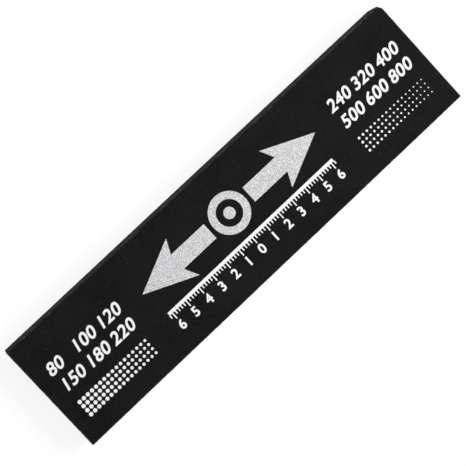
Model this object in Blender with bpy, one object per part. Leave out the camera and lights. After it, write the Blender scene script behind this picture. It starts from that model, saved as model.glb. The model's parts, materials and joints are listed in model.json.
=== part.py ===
"""Flexible sanding block: one slab of black closed-cell foam rubber that bends along its length.

Metres, +Z up. The block lies on its sanding face, length along X, width along Y, and the origin is the
middle of the sanding face. The real foam is a single slab. To let it bend, it is divided here into firm
sections with a short flex zone between each two. Each flex zone bends about a line across the block at half
its thickness. The empty on that line carries everything further out, so turning the empties bends the block.
"""

import bmesh
import bpy
from mathutils import Vector

# Foam slab
LENGTH = 0.2794
WIDTH = 0.0682
THICKNESS = 0.0286
EDGE_ROUND = 0.0006
EDGE_STEPS = 3

# Division for bending, from the centre section outwards. The gap keeps neighbouring solids apart.
SIDES = {"left": -1, "right": 1}
SECTION_NAMES = ("middle", "end")
ZONE_NAMES = ("inner", "outer")
FLEX_ZONE_LENGTH = 0.012
FOAM_GAP = 0.0003

# Bending lines
SECTION_COUNT = 1 + len(SIDES) * len(SECTION_NAMES)
BEND_SPACING = LENGTH / SECTION_COUNT
BEND_HEIGHT = THICKNESS / 2
SECTION_SETBACK = FLEX_ZONE_LENGTH / 2 + FOAM_GAP
BEND_MARK_SIZE = WIDTH / 2

# Foam finish, linear light
FOAM_COLOUR = (0.016, 0.016, 0.017, 1.0)
FOAM_ROUGHNESS = 0.72
FOAM_METALLIC = 0.0


def clear_scene():
    """Start from an empty scene."""
    for old in list(bpy.data.objects):
        bpy.data.objects.remove(old, do_unlink=True)


def new_collection(name):
    """A collection for the block, linked to the scene."""
    collection = bpy.data.collections.new(name)
    bpy.context.scene.collection.children.link(collection)
    return collection


def foam_material(name):
    """Matt black foam rubber, one material for each piece."""
    material = bpy.data.materials.new(name)
    material.use_nodes = True
    shader = material.node_tree.nodes["Principled BSDF"]
    shader.inputs["Base Color"].default_value = FOAM_COLOUR
    shader.inputs["Roughness"].default_value = FOAM_ROUGHNESS
    shader.inputs["Metallic"].default_value = FOAM_METALLIC
    return material


def rounded_edges(bm, free_side):
    """The edges of a centred box that run along X, and those round the end that is the slab's own end.

    free_side is -1 or 1 for a box that ends the slab on that side, and 0 for one that lies between others.
    """
    chosen = []
    for edge in bm.edges:
        near, far = (vertex.co.x for vertex in edge.verts)
        runs_along = near * far < 0
        on_free_end = near * free_side > 0 and far * free_side > 0
        if runs_along or on_free_end:
            chosen.append(edge)
    return chosen


def foam_piece(collection, name, x_span, carrier, free_side=0):
    """A stretch of the slab between two places along X, with its origin on its carrier's bending line."""
    size = Vector((max(x_span) - min(x_span), WIDTH, THICKNESS))
    middle = Vector((sum(x_span) / 2, 0, THICKNESS / 2))
    if carrier:
        middle = middle - carrier.matrix_world.translation
    bm = bmesh.new()
    bmesh.ops.create_cube(bm, size=1)
    bmesh.ops.scale(bm, vec=size, verts=bm.verts)
    bmesh.ops.bevel(
        bm,
        geom=rounded_edges(bm, free_side),
        offset=EDGE_ROUND,
        offset_type="OFFSET",
        segments=EDGE_STEPS,
        profile=0.5,
        affect="EDGES",
    )
    bmesh.ops.translate(bm, vec=middle, verts=bm.verts)
    mesh = bpy.data.meshes.new(name)
    bm.to_mesh(mesh)
    bm.free()
    mesh.materials.append(foam_material(name))
    piece = bpy.data.objects.new(name, mesh)
    collection.objects.link(piece)
    if carrier:
        piece.parent = carrier


def bend_axis(collection, name, x, carrier):
    """An empty on the bending line at x. Turning it about Y bends the block there."""
    axis = bpy.data.objects.new(name, None)
    axis.empty_display_type = "SINGLE_ARROW"
    axis.empty_display_size = BEND_MARK_SIZE
    collection.objects.link(axis)
    axis.location = (x, 0, BEND_HEIGHT)
    if carrier:
        axis.parent = carrier
        axis.location = axis.location - carrier.matrix_world.translation
    bpy.context.view_layer.update()
    return axis


def bend_line_x(side, number):
    """Where bending line 0, 1, ... lies, counted outwards from the middle of the block."""
    return side * (BEND_SPACING / 2 + number * BEND_SPACING)


def make_centre(collection):
    """The centre section, which stays still while both halves bend."""
    reach = bend_line_x(1, 0) - SECTION_SETBACK
    foam_piece(collection, "foam_centre", (-reach, reach), None)


def make_half(collection, side_name, side):
    """The flex zones and sections of one half, from the centre section out to the slab's end."""
    carrier = None
    for number, (zone_name, section_name) in enumerate(zip(ZONE_NAMES, SECTION_NAMES)):
        line = bend_line_x(side, number)
        zone_span = (line - FLEX_ZONE_LENGTH / 2, line + FLEX_ZONE_LENGTH / 2)
        foam_piece(collection, f"flex_zone_{zone_name}_{side_name}", zone_span, carrier)
        carrier = bend_axis(collection, f"bend_axis_{zone_name}_{side_name}", line, carrier)
        start = line + side * SECTION_SETBACK
        finish = bend_line_x(side, number + 1) - side * SECTION_SETBACK
        free_side = 0
        if section_name == SECTION_NAMES[-1]:
            finish = side * LENGTH / 2
            free_side = side
        foam_piece(collection, f"foam_{section_name}_{side_name}", (start, finish), carrier, free_side)


def main():
    """Build the whole block."""
    clear_scene()
    collection = new_collection("flexible_sanding_block")
    make_centre(collection)
    for side_name, side in SIDES.items():
        make_half(collection, side_name, side)


main()
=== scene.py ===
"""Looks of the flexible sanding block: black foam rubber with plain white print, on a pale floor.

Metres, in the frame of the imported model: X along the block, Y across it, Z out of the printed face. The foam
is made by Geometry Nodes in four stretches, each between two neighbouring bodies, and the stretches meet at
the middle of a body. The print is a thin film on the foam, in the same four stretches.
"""

import json
import logging
import math
from dataclasses import dataclass
from enum import Enum, IntEnum
from typing import Any, Iterable, Mapping, Sequence

import bmesh
import bpy
from mathutils import Euler, Matrix, Vector

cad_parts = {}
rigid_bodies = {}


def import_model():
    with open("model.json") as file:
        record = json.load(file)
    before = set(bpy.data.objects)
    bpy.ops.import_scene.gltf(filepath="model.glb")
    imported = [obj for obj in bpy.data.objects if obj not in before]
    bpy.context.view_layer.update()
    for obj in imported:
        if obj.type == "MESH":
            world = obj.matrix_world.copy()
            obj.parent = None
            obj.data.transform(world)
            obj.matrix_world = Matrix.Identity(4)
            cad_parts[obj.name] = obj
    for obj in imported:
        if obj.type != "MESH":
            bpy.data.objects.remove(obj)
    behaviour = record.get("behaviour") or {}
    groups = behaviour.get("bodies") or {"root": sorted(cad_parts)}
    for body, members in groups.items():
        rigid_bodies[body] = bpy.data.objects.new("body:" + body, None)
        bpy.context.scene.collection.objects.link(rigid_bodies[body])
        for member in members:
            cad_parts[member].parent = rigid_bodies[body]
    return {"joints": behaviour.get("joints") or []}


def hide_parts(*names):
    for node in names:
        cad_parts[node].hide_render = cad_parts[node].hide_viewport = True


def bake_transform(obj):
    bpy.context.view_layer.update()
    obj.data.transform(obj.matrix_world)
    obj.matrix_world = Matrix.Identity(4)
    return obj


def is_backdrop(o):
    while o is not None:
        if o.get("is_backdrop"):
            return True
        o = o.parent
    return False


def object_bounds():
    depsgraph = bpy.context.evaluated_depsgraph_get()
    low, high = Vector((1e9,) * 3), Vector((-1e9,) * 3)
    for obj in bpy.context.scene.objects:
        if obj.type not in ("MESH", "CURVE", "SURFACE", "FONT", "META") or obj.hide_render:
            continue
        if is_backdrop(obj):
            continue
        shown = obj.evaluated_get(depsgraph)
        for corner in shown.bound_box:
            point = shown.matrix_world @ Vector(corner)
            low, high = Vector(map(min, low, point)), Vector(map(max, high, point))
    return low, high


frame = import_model()

LOG = logging.getLogger("sanding_block")
MM = 0.001
WELD = 0.001 * MM
UP = (0.0, 0.0, 1.0)
WHITE = (1.0, 1.0, 1.0)

Point = tuple[float, float]
Span = tuple[float, float]
Triple = tuple[float, float, float]
Socket = bpy.types.NodeSocket
Source = Any

# From 1 at the low end of a span down to 0 at its high end
FADING: Span = (1.0, 0.0)

# The grid that each stretch of foam is shaped from is a cube about the origin
CUBE_SIZE: Triple = (2.0, 2.0, 2.0)
CUBE_REACH: Triple = (1.0, 1.0, 1.0)


class Slot(Enum):
    """Material slots of the record."""

    FOAM = "eva_foam"
    INK = "print_ink"


class Mark(Enum):
    """Attributes that the foam and the film carry for their materials."""

    PLACE = "rest_place"
    EDGE = "edge_distance"
    CUT = "cut_face"
    COVER = "ink_cover"

    @property
    def data_type(self) -> str:
        """Blender's name for what it holds. The place is a vector, and the others are numbers."""
        return "FLOAT_VECTOR" if self is Mark.PLACE else "FLOAT"

    @property
    def output(self) -> str:
        """The output of an Attribute node that gives it."""
        return "Vector" if self is Mark.PLACE else "Fac"


class Align(Enum):
    """Which point of a number's baseline comes at its place."""

    LEFT = "LEFT"
    MIDDLE = "CENTER"
    RIGHT = "RIGHT"


class Kind(Enum):
    """Socket types of a Geometry Nodes tree's inputs."""

    GEOMETRY = "NodeSocketGeometry"
    MATERIAL = "NodeSocketMaterial"
    NUMBER = "NodeSocketFloat"
    COUNT = "NodeSocketInt"


class MixSocket(IntEnum):
    """Places of the colour sockets on a Mix node, whose names repeat."""

    FACTOR = 0
    FIRST = 6
    SECOND = 7
    RESULT = 2


def add_object(name: str, data: bpy.types.ID) -> bpy.types.Object:
    """Put a new object in the scene.

    Args:
        name: Its name.
        data: Its mesh, text, lamp or camera.

    Returns:
        The object, at the origin.
    """
    made = bpy.data.objects.new(name, data)
    bpy.context.scene.collection.objects.link(made)
    return made


def finished_mesh(piece: bpy.types.Object) -> bpy.types.Mesh:
    """Keep what an object's modifiers or text make.

    Args:
        piece: The object.

    Returns:
        A plain mesh, with all of its attributes.
    """
    graph = bpy.context.evaluated_depsgraph_get()
    made = piece.evaluated_get(graph)
    return bpy.data.meshes.new_from_object(made, preserve_all_data_layers=True, depsgraph=graph)


@dataclass
class TreeBuilder:
    """Adds nodes to one node tree and wires them.

    A source is either a socket, which is linked, or a plain value, which is set.
    """

    group: bpy.types.NodeTree

    def node(self, kind: str, inputs: Mapping[Any, Source] | None = None, **settings: Any) -> bpy.types.Node:
        """Add a node.

        Args:
            kind: Blender's name for the node type.
            inputs: Sources by the name or place of the input socket.
            settings: Properties of the node.

        Returns:
            The new node.
        """
        node = self.group.nodes.new(kind)
        for name, value in settings.items():
            setattr(node, name, value)
        for key, source in (inputs or {}).items():
            self.feed(node.inputs[key], source)
        return node

    def feed(self, socket: Socket, source: Source) -> None:
        """Give a socket its source.

        Args:
            socket: The input socket.
            source: A socket to link, or a value to set. A colour comes without its alpha.
        """
        if isinstance(source, Socket):
            self.group.links.new(source, socket)
        elif socket.type == "RGBA":
            socket.default_value = (*source, 1.0)
        else:
            socket.default_value = source

    def math(self, operation: str, *sources: Source, clamp: bool = False) -> Socket:
        """The result of a Math node, kept from 0 to 1 where clamp is set."""
        operands = dict(enumerate(sources))
        return self.node("ShaderNodeMath", operands, operation=operation, use_clamp=clamp).outputs[0]

    def vector(self, operation: str, *sources: Source) -> Socket:
        """The result of a Vector Math node on vectors."""
        operands = dict(enumerate(sources))
        return self.node("ShaderNodeVectorMath", operands, operation=operation).outputs["Vector"]

    def scaled(self, vector: Source, factor: Source) -> Socket:
        """A vector times a number."""
        operands = {"Vector": vector, "Scale": factor}
        return self.node("ShaderNodeVectorMath", operands, operation="SCALE").outputs["Vector"]

    def combined(self, x: Source, y: Source, z: Source) -> Socket:
        """A vector from three numbers."""
        return self.node("ShaderNodeCombineXYZ", {"X": x, "Y": y, "Z": z}).outputs[0]

    def parts(self, vector: Source) -> Sequence[Socket]:
        """The X, Y and Z sockets of a vector."""
        return self.node("ShaderNodeSeparateXYZ", {0: vector}).outputs

    def ranged(self, value: Source, span: Span, onto: Span = (0.0, 1.0)) -> Socket:
        """A value carried from one span onto another, smoothly and without overshoot."""
        inputs = dict(zip(("Value", "From Min", "From Max", "To Min", "To Max"), (value, *span, *onto)))
        return self.node("ShaderNodeMapRange", inputs, interpolation_type="SMOOTHSTEP").outputs[0]

    def between(self, share: Source, span: Span) -> Socket:
        """The number that lies at a share of a span."""
        return self.math("MULTIPLY_ADD", share, span[1] - span[0], span[0])

    def weighted(self, *terms: tuple[Source, float]) -> Socket:
        """The sum of some numbers, each times its weight.

        Args:
            terms: The numbers with their weights.

        Returns:
            The sum's socket.
        """
        (number, weight), *others = terms
        total = self.math("MULTIPLY", number, weight)
        for number, weight in others:
            total = self.math("MULTIPLY_ADD", number, weight, total)
        return total

    def noise(self, place: Source, size: float, seed: Source, detail: float = 3.0) -> Socket:
        """Soft noise from 0 to 1, with features about a size apart and a few finer layers, as detail says."""
        inputs = {"Vector": place, "Scale": 1 / size, "W": seed, "Detail": detail}
        return self.node("ShaderNodeTexNoise", inputs, noise_dimensions="4D").outputs[0]

    def drawn_noise(self, place: Source, size: float, seed: Source, share: float) -> Socket:
        """Soft noise that is drawn out along Z.

        Args:
            place: The point to read it at.
            size: How far apart its features are along X and Y.
            seed: Which pattern.
            share: How many features there are along Z, next to those along as much X.

        Returns:
            The noise's socket.
        """
        x, y, z = self.parts(place)
        drawn_out = self.combined(x, y, self.math("MULTIPLY", z, share))
        return self.noise(drawn_out, size, seed)


class GeometryTree(TreeBuilder):
    """A Geometry Nodes tree with named inputs, which ends in Realize Instances and Set Material.

    Its inputs are the geometry that it starts from, which may stay empty, the material that it sets, and its
    own numbers and counts.
    """

    def __init__(self, name: str, values: Mapping[str, float]) -> None:
        """Start the tree.

        Args:
            name: The tree's name.
            values: Values of its own inputs, by name. A whole number makes a count.
        """
        super().__init__(bpy.data.node_groups.new(name, "GeometryNodeTree"))
        kinds = {"Geometry": Kind.GEOMETRY, "Material": Kind.MATERIAL}
        for label, value in values.items():
            kinds[label] = Kind.COUNT if isinstance(value, int) else Kind.NUMBER
        for label, kind in kinds.items():
            self.group.interface.new_socket(label, in_out="INPUT", socket_type=kind.value)
        self.group.interface.new_socket("Result", in_out="OUTPUT", socket_type=Kind.GEOMETRY.value)
        self.given = self.node("NodeGroupInput").outputs

    def store(self, geometry: Source, mark: Mark, value: Source) -> Socket:
        """The geometry with a value kept on each of its points."""
        inputs = {"Geometry": geometry, "Name": mark.value, "Value": value}
        return self.node("GeometryNodeStoreNamedAttribute", inputs, data_type=mark.data_type).outputs[0]

    def copies(self, points: Source, shape: Source, scale: Source) -> Socket:
        """A shape put on each of some points, at a scale."""
        inputs = {"Points": points, "Instance": shape, "Scale": scale}
        return self.node("GeometryNodeInstanceOnPoints", inputs).outputs[0]

    def end(self, geometry: Source) -> None:
        """Realize the instances, set the material and close the tree.

        Args:
            geometry: The finished geometry.
        """
        real = self.node("GeometryNodeRealizeInstances", {"Geometry": geometry}).outputs[0]
        dressed = self.node("GeometryNodeSetMaterial", {"Geometry": real, "Material": self.given["Material"]})
        self.node("NodeGroupOutput", {"Result": dressed.outputs[0]})

    def make(
        self,
        name: str,
        values: Mapping[str, float],
        material: bpy.types.Material | None = None,
        start: bpy.types.Mesh | None = None,
    ) -> bpy.types.Object:
        """Run the tree and keep its result as a plain mesh.

        Args:
            name: The new object's name.
            values: The values of its own inputs, by name.
            material: The material, if it is known yet.
            start: The mesh that the tree starts from, if it uses one.

        Returns:
            An object at the origin, with no modifier.
        """
        piece = add_object(name, start or bpy.data.meshes.new(name))
        modifier = piece.modifiers.new(self.group.name, "NODES")
        modifier.node_group = self.group
        given = {**values, "Material": material} if material else values
        for item in self.group.interface.items_tree:
            if item.in_out == "INPUT" and item.name in given:
                modifier[item.identifier] = given[item.name]
        mesh = finished_mesh(piece)
        piece.modifiers.remove(modifier)
        mesh.name = name
        piece.data = mesh
        return piece

    def flat_mesh(self, name: str, values: Mapping[str, float]) -> bpy.types.Mesh:
        """Run the tree for shapes that get their material later.

        Args:
            name: The new mesh's name.
            values: The values of its own inputs, by name.

        Returns:
            The mesh, with no object and no material.
        """
        piece = self.make(name, values)
        mesh = piece.data
        bpy.data.objects.remove(piece)
        mesh.materials.clear()
        return mesh


class ShaderTree(TreeBuilder):
    """A material's node tree, round its Principled shader."""

    def __init__(self, name: str) -> None:
        """Start the material.

        Args:
            name: The material's name.
        """
        self.material = bpy.data.materials.new(name)
        self.material.use_nodes = True
        super().__init__(self.material.node_tree)
        self.shader = self.group.nodes["Principled BSDF"]

    def finished(self, inputs: Mapping[str, Source]) -> bpy.types.Material:
        """Feed the Principled shader.

        Args:
            inputs: Sources by the name of the shader's input.

        Returns:
            The finished material.
        """
        for name, source in inputs.items():
            self.feed(self.shader.inputs[name], source)
        return self.material

    def read(self, mark: Mark) -> Socket:
        """A vector or number that the surface carries."""
        return self.node("ShaderNodeAttribute", attribute_name=mark.value).outputs[mark.output]

    def mix(self, factor: Source, first: Source, second: Source) -> Socket:
        """A blend of two colours: the first one where the factor is 0, and the second where it is 1."""
        inputs = {MixSocket.FACTOR: factor, MixSocket.FIRST: first, MixSocket.SECOND: second}
        return self.node("ShaderNodeMix", inputs, data_type="RGBA").outputs[MixSocket.RESULT]

    def cells(self, place: Source, size: float) -> Socket:
        """Rounded cells, from 0 at the middle of each."""
        return self.scattered(place, size)["Distance"]

    def scattered(self, place: Source, spacing: float) -> bpy.types.bpy_prop_collection:
        """Scattered places: the Distance from the nearest one, in spacings, and its own random Color."""
        inputs = {"Vector": place, "Scale": 1 / spacing}
        return self.node("ShaderNodeTexVoronoi", inputs).outputs

    def specks(self, place: Source, spacing: float, radius: float, share: float, draw: int = 0) -> Socket:
        """Small round specks at some of many scattered places.

        Args:
            place: The point to read them at.
            spacing: How far apart the places are.
            radius: How large a speck is, in spacings.
            share: Which share of the places has a speck.
            draw: Which of a place's three random numbers decides, from 0 to 2.

        Returns:
            1 on a speck and 0 elsewhere.
        """
        places = self.scattered(place, spacing)
        near = self.math("LESS_THAN", places["Distance"], radius)
        drawn = self.math("GREATER_THAN", self.parts(places["Color"])[draw], 1 - share)
        return self.math("MULTIPLY", near, drawn)

    def bump(self, height: Source, distance: float, below: Source | None = None) -> Socket:
        """Relief.

        Args:
            height: How high the surface is, from 0 to 1.
            distance: How many metres 1 is.
            below: The relief that this one lies on.

        Returns:
            The normal's socket.
        """
        inputs = {"Height": height, "Distance": distance, "Strength": 1.0}
        if below is not None:
            inputs["Normal"] = below
        return self.node("ShaderNodeBump", inputs).outputs[0]


@dataclass(frozen=True)
class FoamPattern:
    """Patterns that the foam's colour, gloss and relief share, each from 0 to 1."""

    mottle: Socket
    cells: Socket
    pores: Socket
    marks: Socket
    wear: Socket


@dataclass(frozen=True)
class FoamFinish:
    """Matt black closed-cell foam rubber: fine cells, faint clouds, pale edges, saw marks on the sides.

    A weight says how much a pattern counts in a sum, and a span where a pattern begins and where it is full.
    """

    seed: float = 5.0
    # Colours, linear light, and gloss
    deep_colour: Triple = (0.0037, 0.0034, 0.0036)
    cloud_colour: Triple = (0.0098, 0.0093, 0.0096)
    mark_colour: Triple = (0.036, 0.035, 0.035)
    rubbed_colour: Triple = (0.066, 0.064, 0.064)
    dust_colour: Triple = (0.10, 0.10, 0.10)
    roughness: Span = (0.52, 0.70)
    cut_roughness: float = 0.22
    specular: float = 0.035
    # The body of the foam: clouds, mottle, cells and pores, with painted shade darkening the pores
    cloud_size: float = 16 * MM
    mottle_size: float = 1.7 * MM
    mottle_depth: float = 0.10 * MM
    cell_size: float = 0.42 * MM
    cell_depth: float = 0.05 * MM
    grain_size: float = 0.16 * MM
    grain_detail: float = 1.0
    pore_size: float = 1.2 * MM
    pore_span: Span = (0.08, 0.22)
    # How far the pores are darkened: painted shade in the hollows
    pore_strength: float = 0.7
    cloud_weight: float = 0.4
    mottle_weight: float = 0.6
    cell_weight: float = 0.3
    colour_span: Span = (0.42, 0.80)
    rough_mottle_weight: float = 0.6
    rough_cell_weight: float = 0.4
    rough_span: Span = (0.25, 0.75)
    high_cell_weight: float = 0.6
    high_grain_weight: float = 0.5
    high_pore_weight: float = -1.2
    # Torn grain and saw lines on the sawn sides, paler where they are worn
    saw_line_size: float = 2.6 * MM
    saw_line_share: float = 0.05
    saw_line_weight: float = 0.4
    torn_size: float = 0.85 * MM
    torn_weight: float = 0.6
    mark_span: Span = (0.42, 0.64)
    mark_depth: float = 0.09 * MM
    mark_strength: Span = (0.27, 0.57)
    wear_size: float = 7 * MM
    wear_share: float = 0.3
    wear_span: Span = (0.38, 0.62)
    # Edges rubbed pale in places, and specks of dust
    rub_width: float = 0.9 * MM
    rub_span: Span = (0.35, 0.65)
    rub_strength: Span = (0.15, 0.8)
    rub_by_wear: Span = (0.4, 1.5)
    dust_spacing: float = 4.2 * MM
    dust_radius: float = 0.045
    dust_share: float = 0.28

    def material(self) -> bpy.types.Material:
        """Make the material.

        Returns:
            The foam's material.
        """
        tree = ShaderTree("black_foam")
        place = tree.read(Mark.PLACE)
        cut = tree.read(Mark.CUT)
        wear = tree.drawn_noise(place, self.wear_size, self.seed, self.wear_share)
        pattern = FoamPattern(
            mottle=tree.noise(place, self.mottle_size, self.seed),
            cells=tree.cells(place, self.cell_size),
            pores=tree.ranged(tree.cells(place, self.pore_size), self.pore_span, FADING),
            marks=tree.math("MULTIPLY", self._saw_marks(tree, place), cut),
            wear=tree.ranged(wear, self.wear_span),
        )
        uneven = tree.weighted(
            (pattern.cells, self.rough_cell_weight), (pattern.mottle, self.rough_mottle_weight)
        )
        skin = tree.ranged(uneven, self.rough_span, self.roughness)
        inputs = {
            "Base Color": self._colour(tree, place, pattern),
            "Roughness": tree.math("MULTIPLY_ADD", cut, self.cut_roughness, skin),
            "Normal": self._relief(tree, place, pattern),
            "Specular IOR Level": self.specular,
        }
        return tree.finished(inputs)

    def saw_lines(self, tree: TreeBuilder, place: Source) -> Socket:
        """Saw lines that run through the thickness, from 0 to 1, for a material or for the shape."""
        return tree.drawn_noise(place, self.saw_line_size, self.seed, self.saw_line_share)

    def _saw_marks(self, tree: ShaderTree, place: Source) -> Socket:
        """The torn grain of a sawn face, with faint saw lines in it.

        Args:
            tree: The tree to build in.
            place: The point on the slab.

        Returns:
            How strong the marks are, from 0 to 1.
        """
        torn = tree.noise(place, self.torn_size, self.seed)
        lines = self.saw_lines(tree, place)
        both = tree.weighted((torn, self.torn_weight), (lines, self.saw_line_weight))
        return tree.ranged(both, self.mark_span)

    def _colour(self, tree: ShaderTree, place: Source, pattern: FoamPattern) -> Socket:
        """Base colour.

        Args:
            tree: The tree to build in.
            place: The point on the slab.
            pattern: The patterns there.

        Returns:
            The colour's socket.
        """
        clouds = tree.noise(place, self.cloud_size, self.seed)
        body = tree.weighted(
            (pattern.mottle, self.mottle_weight),
            (clouds, self.cloud_weight),
            (pattern.cells, self.cell_weight),
        )
        base = tree.mix(tree.ranged(body, self.colour_span), self.deep_colour, self.cloud_colour)
        pale = tree.math("MULTIPLY", pattern.marks, tree.between(pattern.wear, self.mark_strength))
        base = tree.mix(pale, base, self.mark_colour)
        # Pores are darkened towards the deep colour: painted shade in the hollows
        base = tree.mix(tree.math("MULTIPLY", pattern.pores, self.pore_strength), base, self.deep_colour)
        near_edge = tree.ranged(tree.read(Mark.EDGE), (0.0, self.rub_width), FADING)
        rub = tree.math("MULTIPLY", near_edge, tree.ranged(pattern.mottle, self.rub_span, self.rub_strength))
        worn = tree.math("MULTIPLY", rub, tree.between(pattern.wear, self.rub_by_wear), clamp=True)
        base = tree.mix(worn, base, self.rubbed_colour)
        dust = tree.specks(place, self.dust_spacing, self.dust_radius, self.dust_share)
        return tree.mix(dust, base, self.dust_colour)

    def _relief(self, tree: ShaderTree, place: Source, pattern: FoamPattern) -> Socket:
        """Relief: fine unevenness, saw marks on the cut faces, and cells and pores over them.

        Args:
            tree: The tree to build in.
            place: The point on the slab.
            pattern: The patterns there.

        Returns:
            The normal's socket.
        """
        uneven = tree.bump(pattern.mottle, self.mottle_depth)
        marked = tree.bump(pattern.marks, self.mark_depth, uneven)
        grain = tree.noise(place, self.grain_size, self.seed, self.grain_detail)
        height = tree.weighted(
            (pattern.cells, self.high_cell_weight),
            (grain, self.high_grain_weight),
            (pattern.pores, self.high_pore_weight),
        )
        return tree.bump(height, self.cell_depth, marked)


@dataclass(frozen=True)
class InkFinish:
    """White screen ink: a matt film, thin and grainy on large areas, and dense on fine lines and figures."""

    seed: float = 5.0
    dense_colour: Triple = (0.875, 0.87, 0.88)
    full_colour: Triple = (0.884, 0.88, 0.90)
    thin_colour: Triple = (0.362, 0.36, 0.37)
    pinhole_colour: Triple = (0.12, 0.12, 0.12)
    roughness: Span = (0.5, 0.7)
    rough_span: Span = (0.3, 0.7)
    specular: float = 0.3
    grain_size: float = 0.42 * MM
    grain_detail: float = 1.0
    grain_weight: float = 0.7
    cell_size: float = 0.42 * MM
    cell_depth: float = 0.012 * MM
    cell_weight: float = 0.3
    thin_span: Span = (0.31, 0.63)
    cover_span: Span = (0.3, 0.8)
    cover_strength: Span = (1.0, 0.75)
    pinhole_spacing: float = 1.4 * MM
    pinhole_radius: float = 0.07
    pinhole_share: float = 0.25

    def material(self) -> bpy.types.Material:
        """Make the material.

        Returns:
            The ink's material.
        """
        tree = ShaderTree("white_ink")
        place = tree.read(Mark.PLACE)
        grain = tree.noise(place, self.grain_size, self.seed, self.grain_detail)
        cells = tree.cells(place, self.cell_size)
        body = tree.weighted((cells, self.cell_weight), (grain, self.grain_weight))
        grainy = tree.mix(tree.ranged(body, self.thin_span), self.full_colour, self.thin_colour)
        strength = tree.ranged(body, self.cover_span, self.cover_strength)
        cover = tree.math("MULTIPLY", tree.read(Mark.COVER), strength)
        colour = tree.mix(cover, grainy, self.dense_colour)
        holes = tree.specks(place, self.pinhole_spacing, self.pinhole_radius, self.pinhole_share, draw=1)
        inputs = {
            "Base Color": tree.mix(holes, colour, self.pinhole_colour),
            "Roughness": tree.ranged(grain, self.rough_span, self.roughness),
            "Normal": tree.bump(cells, self.cell_depth),
            "Specular IOR Level": self.specular,
        }
        return tree.finished(inputs)


@dataclass(frozen=True)
class FoamSkin:
    """How a cut foam face strays from flat. The foam and the film on it read the same waves."""

    wave_size: float = 48 * MM
    wave_depth: float = 0.14 * MM
    ripple_size: float = 5 * MM
    ripple_depth: float = 0.02 * MM
    seed: float = 2.0

    def values(self) -> dict[str, float]:
        """The inputs that a tree with this skin has."""
        return {"Wave Depth": self.wave_depth, "Ripple Depth": self.ripple_depth, "Seed": self.seed}

    def offset(self, tree: GeometryTree, place: Source, outward: Source) -> Socket:
        """How far the surface lies from flat.

        Args:
            tree: The tree to build in.
            place: The point on the flat surface.
            outward: The direction out of the surface there.

        Returns:
            The offset's socket.
        """
        heights = []
        for size, depth in ((self.wave_size, "Wave Depth"), (self.ripple_size, "Ripple Depth")):
            about_none = tree.math("SUBTRACT", tree.noise(place, size, tree.given["Seed"], 0.0), 0.5)
            heights.append(tree.math("MULTIPLY", about_none, tree.given[depth]))
        return tree.scaled(outward, tree.math("ADD", *heights))


@dataclass(frozen=True)
class Stretch:
    """A stretch of the slab between two neighbouring bodies."""

    name: str
    inner_body: str
    outer_body: str
    inner_x: float
    outer_x: float
    end_x: float
    nodes: tuple[str, ...]

    @property
    def low(self) -> float:
        """Its lowest X."""
        return min(self.inner_x, self.end_x)

    @property
    def high(self) -> float:
        """Its highest X."""
        return max(self.inner_x, self.end_x)

    def bend(self, piece: bpy.types.Object, slot: Slot) -> None:
        """Bake a piece's placement into its mesh.

        Args:
            piece: The finished mesh.
            slot: The record's slot for its finish, which is not used.
        """
        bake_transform(piece)


class SlabBox:
    """The slab's box in the frame, and its division into stretches."""

    def __init__(self) -> None:
        """Read the box from the frame."""
        low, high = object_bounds()
        self.top = high.z
        self.length, self.width, self.thickness = high - low
        self.spacing = self._middle_x("middle_right")

    @staticmethod
    def _middle_x(body: str) -> float:
        """The X halfway between the two bending lines of a body."""
        joints = [joint for joint in frame["joints"] if body in (joint["parent"], joint["child"])]
        return sum(joint["pos_m"][0] for joint in joints) / len(joints)

    def stretches(self) -> list[Stretch]:
        """Divide the slab.

        Returns:
            The four stretches, from the middle outwards, the left ones first.
        """
        found = []
        for side_name, side in (("left", -1), ("right", 1)):
            seam = side * self.spacing
            inner = Stretch(
                name=f"inner_{side_name}",
                inner_body="centre",
                outer_body=f"middle_{side_name}",
                inner_x=0.0,
                outer_x=seam,
                end_x=seam,
                nodes=("foam_centre", f"flex_zone_inner_{side_name}"),
            )
            outer = Stretch(
                name=f"outer_{side_name}",
                inner_body=f"middle_{side_name}",
                outer_body=f"end_{side_name}",
                inner_x=seam,
                outer_x=2 * seam,
                end_x=side * self.length / 2,
                nodes=(f"foam_middle_{side_name}", f"flex_zone_outer_{side_name}", f"foam_end_{side_name}"),
            )
            found += [inner, outer]
        return found


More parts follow.
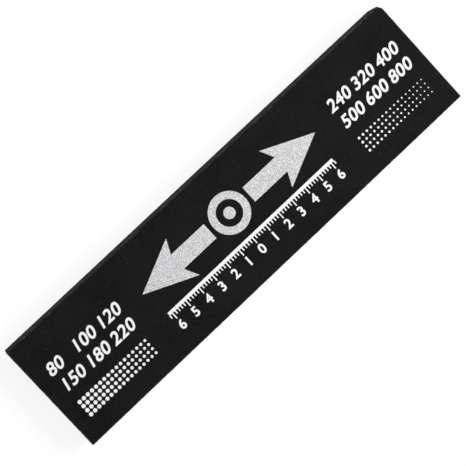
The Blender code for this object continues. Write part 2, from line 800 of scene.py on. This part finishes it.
@dataclass
class FoamSlab:
    """The foam: a sawn box with softly rounded, slightly nicked edges, made by one Geometry Nodes tree."""

    box: SlabBox
    skin: FoamSkin
    finish: FoamFinish
    edge_round: float = 0.6 * MM
    edge_rows: int = 3
    row_spacing: float = 0.7 * MM
    saw_depth: float = 0.25 * MM
    nick_size: float = 2.6 * MM
    nick_detail: float = 1.0
    nick_span: Span = (0.58, 0.85)
    nick_width: float = 1.4 * MM
    nick_depth: float = 0.40 * MM
    knocked_corner: Triple = (1.0, 1.0, 1.0)
    knock_way: Triple = (1.0, 1.0, 0.35)
    knock_depth: float = 1.7 * MM
    knock_softness: float = 1.2 * MM
    crease_angle: float = math.radians(50)

    def build(self, stretches: Sequence[Stretch]) -> list[bpy.types.Object]:
        """Make the foam of every stretch, and hide the imported parts that it stands in for.

        Args:
            stretches: The stretches of the slab.

        Returns:
            The finished pieces.
        """
        material = self.finish.material()
        tree = self._tree(self._values(stretches[0]))
        pieces = []
        for stretch in stretches:
            piece = tree.make(f"foam_{stretch.name}", self._values(stretch), material)
            stretch.bend(piece, Slot.FOAM)
            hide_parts(*stretch.nodes)
            pieces.append(piece)
        return pieces

    def _rows(self, size: float) -> int:
        """How many rows of faces a side has."""
        return 2 * self.edge_rows + round((size - 2 * self.edge_round) / self.row_spacing)

    def _values(self, stretch: Stretch) -> dict[str, float]:
        """The tree's own inputs for one stretch.

        Args:
            stretch: The stretch to make.

        Returns:
            The value of each input, by name.
        """
        half = self.box.length / 2
        return {
            "Start": stretch.low,
            "Finish": stretch.high,
            "Round Start": float(math.isclose(stretch.low, -half)),
            "Round Finish": float(math.isclose(stretch.high, half)),
            "Length": self.box.length,
            "Width": self.box.width,
            "Thickness": self.box.thickness,
            "Edge Round": self.edge_round,
            "Edge Rows": self.edge_rows,
            "Rows Along": self._rows(stretch.high - stretch.low),
            "Rows Across": self._rows(self.box.width),
            "Rows Through": self._rows(self.box.thickness),
            "Saw Depth": self.saw_depth,
            "Nick Depth": self.nick_depth,
            "Knock Depth": self.knock_depth,
            **self.skin.values(),
        }

    def _tree(self, values: Mapping[str, float]) -> GeometryTree:
        """The tree that makes one stretch: a grid box, rounded, sawn, nicked and made uneven.

        Args:
            values: Values of its own inputs, by name.

        Returns:
            The finished tree.
        """
        tree = GeometryTree("foam_stretch", values)
        given = tree.given
        rows = (("X", "Rows Along"), ("Y", "Rows Across"), ("Z", "Rows Through"))
        points = {f"Vertices {axis}": tree.math("ADD", given[name], 1.0) for axis, name in rows}
        made = tree.node("GeometryNodeMeshCube", {"Size": CUBE_SIZE, **points}).outputs["Mesh"]
        place, outward = self._rounded(tree)
        edge = self._edge_distance(tree, place)
        cut = tree.math("SUBTRACT", 1.0, tree.math("ABSOLUTE", tree.parts(outward)[2]))
        uneven = self.skin.offset(tree, place, outward)
        sawn = tree.math("MULTIPLY", tree.math("SUBTRACT", self.finish.saw_lines(tree, place), 0.5), cut)
        ridges = tree.scaled(outward, tree.math("MULTIPLY", sawn, given["Saw Depth"]))
        hollows = tree.vector("ADD", self._nicks(tree, place, outward, edge), self._knock(tree, place))
        surface = tree.vector("ADD", tree.vector("ADD", place, ridges), tree.vector("ADD", uneven, hollows))
        for mark, value in ((Mark.PLACE, place), (Mark.EDGE, edge), (Mark.CUT, cut)):
            made = tree.store(made, mark, value)
        made = tree.node("GeometryNodeSetPosition", {"Geometry": made, "Position": surface}).outputs[0]
        tree.end(self._shaded(tree, made))
        return tree

    @staticmethod
    def _rounded(tree: GeometryTree) -> tuple[Socket, Socket]:
        """Carry the cube's grid to a box with rounded edges, with its rows crowded into the rounding.

        Args:
            tree: The tree to build in.

        Returns:
            The place on the slab, and the direction out of it, which is none inside a flat seam.
        """
        given = tree.given
        radius = given["Edge Round"]
        unit = tree.node("GeometryNodeInputPosition").outputs[0]
        span = tree.math("SUBTRACT", given["Finish"], given["Start"])
        half = tree.scaled(tree.combined(span, given["Width"], given["Thickness"]), 0.5)
        middle_x = tree.math("MULTIPLY", tree.math("ADD", given["Start"], given["Finish"]), 0.5)
        middle = tree.combined(middle_x, 0.0, tree.math("MULTIPLY", given["Thickness"], 0.5))
        rows = tree.combined(given["Rows Along"], given["Rows Across"], given["Rows Through"])
        edge_share = tree.vector("DIVIDE", tree.scaled(CUBE_SIZE, given["Edge Rows"]), rows)
        core = tree.vector("SUBTRACT", CUBE_REACH, edge_share)
        radii = tree.combined(radius, radius, radius)
        far = tree.vector("ABSOLUTE", unit)
        in_core = tree.vector("DIVIDE", tree.vector("MINIMUM", far, core), core)
        past_core = tree.vector("MAXIMUM", tree.vector("SUBTRACT", far, core), (0.0, 0.0, 0.0))
        reach = tree.vector(
            "ADD",
            tree.vector("MULTIPLY", in_core, tree.vector("SUBTRACT", half, radii)),
            tree.vector("MULTIPLY", tree.vector("DIVIDE", past_core, edge_share), radii),
        )
        grid = tree.vector("MULTIPLY", tree.vector("SIGN", unit), reach)
        round_low = tree.scaled(tree.combined(given["Round Start"], 1.0, 1.0), radius)
        round_high = tree.scaled(tree.combined(given["Round Finish"], 1.0, 1.0), radius)
        lowest = tree.vector("SUBTRACT", round_low, half)
        highest = tree.vector("SUBTRACT", half, round_high)
        core_point = tree.vector("MINIMUM", tree.vector("MAXIMUM", grid, lowest), highest)
        outward = tree.vector("NORMALIZE", tree.vector("SUBTRACT", grid, core_point))
        surface = tree.vector("ADD", core_point, tree.scaled(outward, radius))
        return tree.vector("ADD", middle, surface), outward

    @staticmethod
    def _middle_and_half(tree: GeometryTree) -> tuple[Socket, Socket]:
        """The slab's middle, and half of its size.

        Args:
            tree: The tree to build in.

        Returns:
            The middle's socket and the half size's.
        """
        given = tree.given
        half = tree.scaled(tree.combined(given["Length"], given["Width"], given["Thickness"]), 0.5)
        return tree.combined(0.0, 0.0, tree.math("MULTIPLY", given["Thickness"], 0.5)), half

    def _edge_distance(self, tree: GeometryTree, place: Source) -> Socket:
        """How far a point of the surface is from the slab's nearest edge.

        Of its depths below the three pairs of faces, the least is that of its own face, and the middle one is
        the distance sought.

        Args:
            tree: The tree to build in.
            place: The point.

        Returns:
            The distance's socket.
        """
        middle, half = self._middle_and_half(tree)
        from_middle = tree.vector("ABSOLUTE", tree.vector("SUBTRACT", place, middle))
        x, y, z = tree.parts(tree.vector("SUBTRACT", half, from_middle))
        least = tree.math("MINIMUM", tree.math("MINIMUM", x, y), z)
        most = tree.math("MAXIMUM", tree.math("MAXIMUM", x, y), z)
        total = tree.math("ADD", tree.math("ADD", x, y), z)
        return tree.math("SUBTRACT", total, tree.math("ADD", least, most))

    def _nicks(self, tree: GeometryTree, place: Source, outward: Source, edge: Source) -> Socket:
        """Small hollows along the edges, where foam has been knocked or torn.

        Args:
            tree: The tree to build in.
            place: The point on the slab.
            outward: The direction out of it.
            edge: Its distance from the nearest edge.

        Returns:
            The offset's socket.
        """
        rough = tree.noise(place, self.nick_size, tree.given["Seed"], self.nick_detail)
        chance = tree.ranged(rough, self.nick_span)
        near = tree.ranged(edge, (0.0, self.nick_width), FADING)
        depth = tree.math("MULTIPLY", tree.math("MULTIPLY", chance, near), tree.given["Nick Depth"])
        return tree.scaled(outward, tree.math("MULTIPLY", depth, -1.0))

    def _knock(self, tree: GeometryTree, place: Source) -> Socket:
        """The one corner that has been knocked blunt.

        Args:
            tree: The tree to build in.
            place: The point on the slab.

        Returns:
            The offset's socket.
        """
        middle, half = self._middle_and_half(tree)
        corner = tree.vector("ADD", middle, tree.vector("MULTIPLY", half, self.knocked_corner))
        way = Vector(self.knock_way).normalized()
        along_way = {0: tree.vector("SUBTRACT", place, corner), 1: tuple(way)}
        beyond = tree.node("ShaderNodeVectorMath", along_way, operation="DOT_PRODUCT").outputs["Value"]
        past_cut = tree.math("ADD", beyond, tree.given["Knock Depth"])
        return tree.scaled(tuple(-way), tree.math("SMOOTH_MAX", past_cut, 0.0, self.knock_softness))

    def _shaded(self, tree: GeometryTree, geometry: Source) -> Socket:
        """Smooth shading, with the flat seams kept sharp.

        Args:
            tree: The tree to build in.
            geometry: The stretch.

        Returns:
            The geometry's socket.
        """
        smooth = tree.node("GeometryNodeSetShadeSmooth", {"Geometry": geometry, "Shade Smooth": True})
        angle = tree.node("GeometryNodeInputMeshEdgeAngle").outputs["Unsigned Angle"]
        sharp = tree.math("GREATER_THAN", angle, self.crease_angle)
        inputs = {"Geometry": smooth.outputs[0], "Selection": sharp, "Shade Smooth": False}
        return tree.node("GeometryNodeSetShadeSmooth", inputs, domain="EDGE").outputs[0]


class FlatShapes:
    """Flat shapes on the printed face, gathered in one mesh at height 0."""

    def __init__(self) -> None:
        """Start with no shape."""
        self.bm = bmesh.new()
        self.cover = self.bm.verts.layers.float.new(Mark.COVER.value)

    def ink(self, cover: float) -> None:
        """Set how dense the ink is on the shapes added since the last call.

        Args:
            cover: The density, from 0 to 1.
        """
        for vertex in self.bm.verts:
            if not vertex.tag:
                vertex[self.cover] = cover
                vertex.tag = True

    def polygon(self, points: Iterable[Point]) -> None:
        """Add a face with these corners, anticlockwise."""
        self.bm.faces.new([self.bm.verts.new((x, y, 0.0)) for x, y in points])

    def rectangle(self, low: Point, high: Point) -> None:
        """Add a rectangle between two corners."""
        self.polygon([low, (high[0], low[1]), high, (low[0], high[1])])

    def band(self, inside: Sequence[Point], outside: Sequence[Point]) -> None:
        """Add a strip between two lines of points.

        Args:
            inside: The points of one side.
            outside: Those of the other side, as many.
        """
        rows = [[self.bm.verts.new((x, y, 0.0)) for x, y in line] for line in (inside, outside)]
        for number in range(len(inside) - 1):
            near, far = rows[0][number : number + 2], rows[1][number : number + 2]
            self.bm.faces.new([near[0], near[1], far[1], far[0]])

    def mesh(self, mesh: bpy.types.Mesh, place: Point) -> None:
        """Add a flat mesh, which is used up.

        Args:
            mesh: The mesh.
            place: Where its origin comes.
        """
        mesh.transform(Matrix.Translation((*place, 0.0)))
        self.bm.from_mesh(mesh)
        bpy.data.meshes.remove(mesh)

    def cut(self, normal: Triple, places: Iterable[float]) -> None:
        """Cut every face along lines across one direction.

        Args:
            normal: The direction.
            places: Where the lines are along it.
        """
        for place in places:
            geometry = [*self.bm.verts, *self.bm.edges, *self.bm.faces]
            line = Vector(normal) * place
            bmesh.ops.bisect_plane(self.bm, geom=geometry, plane_co=line, plane_no=normal)

    def face_up(self) -> None:
        """Weld touching points and turn every face upwards."""
        bmesh.ops.remove_doubles(self.bm, verts=self.bm.verts, dist=WELD)
        self.bm.normal_update()
        turned = [face for face in self.bm.faces if face.normal.z < 0]
        bmesh.ops.reverse_faces(self.bm, faces=turned)

    def between(self, name: str, low: float, high: float) -> bpy.types.Mesh:
        """The shapes between two places along X, which must have been cut there.

        Args:
            name: The mesh's name.
            low: The lower X.
            high: The higher X.

        Returns:
            A new mesh.
        """
        part = self.bm.copy()
        outside = [face for face in part.faces if not low < face.calc_center_median().x < high]
        bmesh.ops.delete(part, geom=outside, context="FACES")
        mesh = bpy.data.meshes.new(name)
        part.to_mesh(mesh)
        part.free()
        return mesh


@dataclass(frozen=True)
class Lettering:
    """How plain numbers are set. The height is that of a figure before its outline is thickened by weight."""

    height: float
    weight: float = 0.0
    slant: float = 0.0
    spacing: float = 1.0
    figure_share: float = 0.70
    curve_steps: int = 6
    sharpest_corner: float = 0.7

    def set(self, shapes: FlatShapes, words: str, place: Point, align: Align = Align.MIDDLE) -> None:
        """Set a number on a baseline.

        Args:
            shapes: Where it is added.
            words: The figures.
            place: Where the point that align names comes.
            align: The point.
        """
        curve = bpy.data.curves.new(f"number_{words}", "FONT")
        curve.body = words
        curve.size = self.height / self.figure_share
        curve.shear = self.slant
        curve.space_character = self.spacing
        curve.align_x = align.value
        curve.resolution_u = self.curve_steps
        holder = add_object(curve.name, curve)
        bpy.context.view_layer.update()
        mesh = finished_mesh(holder)
        bpy.data.objects.remove(holder)
        bpy.data.curves.remove(curve)
        self._thicken(mesh)
        shapes.mesh(mesh, place)

    def _thicken(self, mesh: bpy.types.Mesh) -> None:
        """Move the outline of flat figures outwards by the weight.

        Args:
            mesh: The figures, which are changed.
        """
        bm = bmesh.new()
        bm.from_mesh(mesh)
        bmesh.ops.remove_doubles(bm, verts=bm.verts, dist=WELD)
        moves = {vertex: [] for vertex in bm.verts}
        for edge in bm.edges:
            if edge.is_boundary:
                start, finish = (vertex.co for vertex in edge.verts)
                across = (finish - start).cross(Vector(UP)).normalized()
                if across.dot(edge.link_faces[0].calc_center_median() - start) > 0:
                    across.negate()
                for vertex in edge.verts:
                    moves[vertex].append(across)
        for vertex, ways in moves.items():
            if ways:
                mean = sum(ways, Vector()).normalized()
                vertex.co += mean * self.weight / max(mean.dot(ways[0]), self.sharpest_corner)
        bm.to_mesh(mesh)
        bm.free()


@dataclass
class StrokeArrow:
    """A bold arrow that points both ways along the block, with a ring at its middle."""

    y: float = 7.0 * MM
    reach: float = 65 * MM
    head_length: float = 26 * MM
    head_half_width: float = 13.5 * MM
    barb: float = 4.0 * MM
    shaft_half_width: float = 5.2 * MM
    ring_outside: float = 12.0 * MM
    ring_inside: float = 7.6 * MM
    ring_gap: float = 2.6 * MM
    dot_radius: float = 3.4 * MM
    ring_steps: int = 72
    cover: float = 0.0

    def draw(self, shapes: FlatShapes) -> None:
        """Add both halves of the arrow and the ring.

        Args:
            shapes: Where they are added.
        """
        for side in (-1, 1):
            shapes.polygon(self._half(side))
        shapes.band(self._circle(self.ring_inside), self._circle(self.ring_outside))
        shapes.polygon(self._circle(self.dot_radius)[:-1])
        shapes.ink(self.cover)

    def _half(self, side: int) -> list[Point]:
        """One half of the arrow, with a barbed head.

        Args:
            side: -1 for the left half, 1 for the right one.

        Returns:
            Its corners.
        """
        start = self.ring_outside + self.ring_gap
        neck = self.reach - self.head_length
        upper = [
            (start, self.shaft_half_width),
            (neck, self.shaft_half_width),
            (neck - self.barb, self.head_half_width),
        ]
        lower = [(x, -y) for x, y in reversed(upper)]
        return [(side * x, self.y + y) for x, y in (*upper, (self.reach, 0.0), *lower)]

    def _circle(self, radius: float) -> list[Point]:
        """Points round the arrow's middle, the first one repeated at the end."""
        turns = (2 * math.pi * step / self.ring_steps for step in range(self.ring_steps + 1))
        return [(radius * math.cos(turn), self.y + radius * math.sin(turn)) for turn in turns]


@dataclass
class CentreScale:
    """A scale in centimetres that counts outwards from the middle of the block."""

    rule_y: float = -11.5 * MM
    rule_width: float = 1.9 * MM
    reach: float = 62 * MM
    tick_spacing: float = 2 * MM
    tick_width: float = 0.7 * MM
    tick_length: float = 2.0 * MM
    long_tick_length: float = 3.9 * MM
    long_tick_every: int = 5
    unit: float = 10 * MM
    figures: Lettering = Lettering(height=5.4 * MM, weight=0.22 * MM)
    figure_gap: float = 1.3 * MM
    cover: float = 1.0

    def draw(self, shapes: FlatShapes) -> None:
        """Add the rule, its ticks and its numbers.

        Args:
            shapes: Where they are added.
        """
        shapes.rectangle((-self.reach, self.rule_y), (self.reach, self.rule_y + self.rule_width))
        self._ticks(shapes)
        baseline = self.rule_y - self.long_tick_length - self.figure_gap - self.figures.height
        last = int(self.reach / self.unit)
        for number in range(-last, last + 1):
            self.figures.set(shapes, str(abs(number)), (number * self.unit, baseline))
        shapes.ink(self.cover)

    def _ticks(self, shapes: FlatShapes) -> None:
        """Add the ticks, counted outwards from the middle.

        Args:
            shapes: Where they are added.
        """
        per_side = int(self.reach / self.tick_spacing)
        values = {
            "Spacing": self.tick_spacing,
            "Tick Width": self.tick_width,
            "Tick Length": self.tick_length,
            "Long Tick Length": self.long_tick_length,
            "Count Each Side": per_side,
            "Long Every": self.long_tick_every,
        }
        ticks = self._tree(values).flat_mesh("scale_ticks", values)
        shapes.mesh(ticks, (-self.tick_spacing * per_side, self.rule_y))

    @staticmethod
    def _tree(values: Mapping[str, float]) -> GeometryTree:
        """The tree that hangs a narrow bar from each point of a line, and makes every so many longer.

        Args:
            values: Values of its own inputs, by name.

        Returns:
            The finished tree.
        """
        tree = GeometryTree("scale_ticks", values)
        given = tree.given
        per_side = given["Count Each Side"]
        count = tree.math("MULTIPLY_ADD", per_side, 2.0, 1.0)
        step = tree.combined(given["Spacing"], 0.0, 0.0)
        line = tree.node("GeometryNodeMeshLine", {"Count": count, "Offset": step}).outputs[0]
        square = {"Size X": 1.0, "Size Y": 1.0, "Vertices X": 2, "Vertices Y": 2}
        bar = tree.node("GeometryNodeMeshGrid", square).outputs[0]
        lowered = {"Geometry": bar, "Translation": (0.0, -0.5, 0.0)}
        hung = tree.node("GeometryNodeTransform", lowered).outputs[0]
        index = tree.node("GeometryNodeInputIndex").outputs[0]
        from_middle = tree.math("ABSOLUTE", tree.math("SUBTRACT", index, per_side))
        is_long = tree.math("LESS_THAN", tree.math("MODULO", from_middle, given["Long Every"]), 0.5)
        extra = tree.math("SUBTRACT", given["Long Tick Length"], given["Tick Length"])
        length = tree.math("MULTIPLY_ADD", is_long, extra, given["Tick Length"])
        tree.end(tree.copies(line, hung, tree.combined(given["Tick Width"], length, 1.0)))
        return tree


@dataclass
class GritPanel:
    """Plain numbers of abrasive grits near one end, over a patch of dots that get finer."""

    side: int
    rows: tuple[tuple[str, ...], ...]
    first_radius: float
    last_radius: float
    outer_x: float = 131 * MM
    inner_x: float = 79 * MM
    top_baseline: float = 8.0 * MM
    row_step: float = 11.5 * MM
    figures: Lettering = Lettering(height=7.0 * MM, weight=0.24 * MM, slant=0.22, spacing=1.06)
    dots_y: float = -16.5 * MM
    dot_spacing: float = 3.0 * MM
    dot_rows: int = 4
    dot_steps: int = 16
    cover: float = 1.0

    def draw(self, shapes: FlatShapes) -> None:
        """Add the numbers and the dots.

        Args:
            shapes: Where they are added.
        """
        left, right = sorted((self.side * self.inner_x, self.side * self.outer_x))
        middle = (left + right) / 2
        for number, row in enumerate(self.rows):
            baseline = self.top_baseline - number * self.row_step
            for words, x, align in zip(row, (left, middle, right), Align):
                self.figures.set(shapes, words, (x, baseline), align)
        columns = 1 + int((right - left - 2 * self.first_radius) / self.dot_spacing)
        values = {
            "Patch Length": (columns - 1) * self.dot_spacing,
            "Patch Height": (self.dot_rows - 1) * self.dot_spacing,
            "First Radius": self.first_radius,
            "Last Radius": self.last_radius,
            "Columns": columns,
            "Rows": self.dot_rows,
            "Corners": self.dot_steps,
        }
        shapes.mesh(self._tree(values).flat_mesh("grit_dots", values), (middle, self.dots_y))
        shapes.ink(self.cover)

    @staticmethod
    def _tree(values: Mapping[str, float]) -> GeometryTree:
        """The tree that puts dots on a grid, with a radius that changes evenly along X.

        Args:
            values: Values of its own inputs, by name.

        Returns:
            The finished tree.
        """
        tree = GeometryTree("grit_dots", values)
        given = tree.given
        sources = {
            "Size X": "Patch Length",
            "Size Y": "Patch Height",
            "Vertices X": "Columns",
            "Vertices Y": "Rows",
        }
        patch = {socket: given[name] for socket, name in sources.items()}
        grid = tree.node("GeometryNodeMeshGrid", patch).outputs[0]
        round_shape = {"Vertices": given["Corners"], "Radius": 1.0}
        disc = tree.node("GeometryNodeMeshCircle", round_shape, fill_type="NGON").outputs[0]
        x = tree.parts(tree.node("GeometryNodeInputPosition").outputs[0])[0]
        share = tree.math("ADD", tree.math("DIVIDE", x, given["Patch Length"]), 0.5)
        change = tree.math("SUBTRACT", given["Last Radius"], given["First Radius"])
        radius = tree.math("MULTIPLY_ADD", share, change, given["First Radius"])
        tree.end(tree.copies(grid, disc, tree.combined(radius, radius, 1.0)))
        return tree


@dataclass
class FacePrint:
    """The white print: a film on the foam, cut fine enough to follow its bend."""

    box: SlabBox
    skin: FoamSkin
    finish: InkFinish
    lift: float = 0.07 * MM
    sink: float = 0.12 * MM
    cut_along: float = 3.0 * MM
    cut_across: float = 4.0 * MM
    weld: float = 0.0005 * MM

    def build(self, stretches: Sequence[Stretch]) -> list[bpy.types.Object]:
        """Draw the print and lay it on the foam.

        Args:
            stretches: The stretches of the slab.

        Returns:
            The finished pieces.
        """
        shapes = self._drawing()
        seams = [x for stretch in stretches for x in (stretch.low, stretch.high)]
        shapes.cut((1.0, 0.0, 0.0), [*self._lines(self.box.length, self.cut_along), *seams])
        shapes.cut((0.0, 1.0, 0.0), self._lines(self.box.width, self.cut_across))
        shapes.face_up()
        values = {"Face Height": self.box.top, "Lift": self.lift, "Sink": self.sink, **self.skin.values()}
        tree = self._tree(values)
        material = self.finish.material()
        pieces = []
        for stretch in stretches:
            name = f"print_{stretch.name}"
            flat = shapes.between(name, stretch.low, stretch.high)
            piece = tree.make(name, values, material, flat)
            stretch.bend(piece, Slot.INK)
            pieces.append(piece)
        return pieces

    @staticmethod
    def _drawing() -> FlatShapes:
        """Draw all that is printed.

        Returns:
            The flat shapes.
        """
        coarse = GritPanel(
            side=-1,
            rows=(("80", "100", "120"), ("150", "180", "220")),
            first_radius=1.2 * MM,
            last_radius=0.8 * MM,
        )
        fine = GritPanel(
            side=1,
            rows=(("240", "320", "400"), ("500", "600", "800")),
            first_radius=0.75 * MM,
            last_radius=0.35 * MM,
        )
        shapes = FlatShapes()
        for printed in (StrokeArrow(), CentreScale(), coarse, fine):
            printed.draw(shapes)
        return shapes

    @staticmethod
    def _lines(size: float, spacing: float) -> list[float]:
        """Evenly spaced places over a size, about 0, and none at 0."""
        count = int(size / 2 / spacing)
        return [number * spacing for number in range(-count, count + 1) if number]

    def _tree(self, values: Mapping[str, float]) -> GeometryTree:
        """The tree that gives flat shapes their thickness and lays them on the uneven foam.

        Args:
            values: Values of its own inputs, by name.

        Returns:
            The finished tree.
        """
        tree = GeometryTree("print_film", values)
        given = tree.given
        extrusion = {
            "Mesh": given["Geometry"],
            "Offset": UP,
            "Offset Scale": tree.math("ADD", given["Lift"], given["Sink"]),
            "Individual": False,
        }
        raised = tree.node("GeometryNodeExtrudeMesh", extrusion, mode="FACES").outputs["Mesh"]
        under = tree.node("GeometryNodeFlipFaces", {"Mesh": given["Geometry"]}).outputs[0]
        both = tree.node("GeometryNodeJoinGeometry", {"Geometry": raised})
        tree.feed(both.inputs["Geometry"], under)
        weld = {"Geometry": both.outputs[0], "Distance": self.weld}
        closed = tree.node("GeometryNodeMergeByDistance", weld).outputs[0]
        x, y, _ = tree.parts(tree.node("GeometryNodeInputPosition").outputs[0])
        place = tree.combined(x, y, given["Face Height"])
        base = tree.combined(0.0, 0.0, tree.math("SUBTRACT", given["Face Height"], given["Sink"]))
        offset = tree.vector("ADD", base, self.skin.offset(tree, place, UP))
        marked = tree.store(closed, Mark.PLACE, place)
        laid = tree.node("GeometryNodeSetPosition", {"Geometry": marked, "Offset": offset}).outputs[0]
        flat = {"Geometry": laid, "Shade Smooth": False}
        tree.end(tree.node("GeometryNodeSetShadeSmooth", flat).outputs[0])
        return tree


@dataclass(frozen=True)
class PhotoCamera:
    """The photograph's viewpoint, fitted to the corners of the block."""

    lens_mm: float = 144.209
    sensor_mm: float = 36.0
    place: Triple = (-0.12562, 0.09971, 1.03269)
    turn_degrees: Triple = (0.3883, -8.8893, -42.9972)
    nearest: float = 0.01

    def build(self) -> None:
        """Make the camera and give it to the scene."""
        data = bpy.data.cameras.new("photo_camera")
        data.lens = self.lens_mm
        data.sensor_width = self.sensor_mm
        data.clip_start = self.nearest
        camera = add_object("photo_camera", data)
        camera.location = self.place
        camera.rotation_euler = Euler([math.radians(turn) for turn in self.turn_degrees])
        bpy.context.scene.camera = camera


@dataclass(frozen=True)
class Softbox:
    """A large square lamp that looks at the middle of the block."""

    name: str
    place: Triple
    size: float
    watts: float

    def build(self) -> None:
        """Make the lamp."""
        data = bpy.data.lights.new(self.name, "AREA")
        data.shape = "SQUARE"
        data.size = self.size
        data.energy = self.watts
        lamp = add_object(self.name, data)
        lamp.location = self.place
        lamp.rotation_euler = Vector(self.place).to_track_quat("Z", "Y").to_euler()


@dataclass(frozen=True)
class Studio:
    """Pale floor, white surroundings and soft lamps."""

    floor_half_size: float = 3.0
    floor_diffuse: float = 0.8
    floor_shadow_share: float = 0.22
    floor_headroom: float = 0.05
    sky_strength: float = 0.42
    softboxes: tuple[Softbox, ...] = (
        Softbox("softbox_right", (0.30, -0.06, 0.62), 0.35, 2.9),
        Softbox("softbox_back", (-0.10, 1.15, 0.80), 0.8, 2.4),
        Softbox("softbox_front", (-0.60, -0.80, 1.00), 0.9, 2.8),
    )

    def build(self) -> None:
        """Make the floor, the world and the lamps."""
        self._floor()
        self._world()
        for softbox in self.softboxes:
            softbox.build()
        bpy.context.scene.view_settings.view_transform = "Standard"

    @staticmethod
    def _seen(tree: TreeBuilder) -> Socket:
        """1 for rays from the camera, from gloss and through glass, and 0 for rays that only light things.

        Args:
            tree: The tree to build in.

        Returns:
            The number's socket.
        """
        rays = tree.node("ShaderNodeLightPath").outputs
        direct = tree.math("ADD", rays["Is Camera Ray"], rays["Is Glossy Ray"])
        return tree.math("ADD", direct, rays["Is Transmission Ray"], clamp=True)

    def _floor(self) -> None:
        """Make the floor. It looks white, and keeps the block's shadow in part."""
        shapes = FlatShapes()
        reach = self.floor_half_size
        shapes.rectangle((-reach, -reach), (reach, reach))
        mesh = bpy.data.meshes.new("floor")
        shapes.bm.to_mesh(mesh)
        tree = ShaderTree("pale_floor")
        share = self.floor_shadow_share
        plain, shaded = (
            tree.node("ShaderNodeBsdfDiffuse", {"Color": (grey, grey, grey)}).outputs[0]
            for grey in (self.floor_diffuse, share)
        )
        glow = tree.node("ShaderNodeEmission", {"Strength": 1 - share + self.floor_headroom}).outputs[0]
        white = tree.node("ShaderNodeAddShader", {0: shaded, 1: glow}).outputs[0]
        either = tree.node("ShaderNodeMixShader", {0: self._seen(tree), 1: plain, 2: white}).outputs[0]
        tree.feed(tree.group.nodes["Material Output"].inputs["Surface"], either)
        tree.group.nodes.remove(tree.shader)
        mesh.materials.append(tree.material)
        add_object("floor", mesh)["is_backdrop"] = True

    def _world(self) -> None:
        """Make the surroundings: white where they are seen, and dimmer as light."""
        world = bpy.data.worlds.new("white_surroundings")
        world.use_nodes = True
        bpy.context.scene.world = world
        tree = TreeBuilder(world.node_tree)
        background = world.node_tree.nodes["Background"]
        tree.feed(background.inputs["Color"], WHITE)
        tree.feed(background.inputs["Strength"], tree.between(self._seen(tree), (self.sky_strength, 1.0)))


def main() -> None:
    """Build the foam, the print and the studio, and log each piece's faces and sizes."""
    logging.basicConfig(level=logging.INFO, format="%(name)s: %(message)s")
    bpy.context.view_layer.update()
    box = SlabBox()
    skin = FoamSkin()
    stretches = box.stretches()
    foam = FoamSlab(box, skin, FoamFinish()).build(stretches)
    ink = FacePrint(box, skin, InkFinish()).build(stretches)
    Studio().build()
    PhotoCamera().build()
    for piece in (*foam, *ink):
        size = ", ".join(f"{side / MM:.1f}" for side in piece.dimensions)
        LOG.info("%s: %d faces, %s mm", piece.name, len(piece.data.polygons), size)


if __name__ == "__main__":
    main()
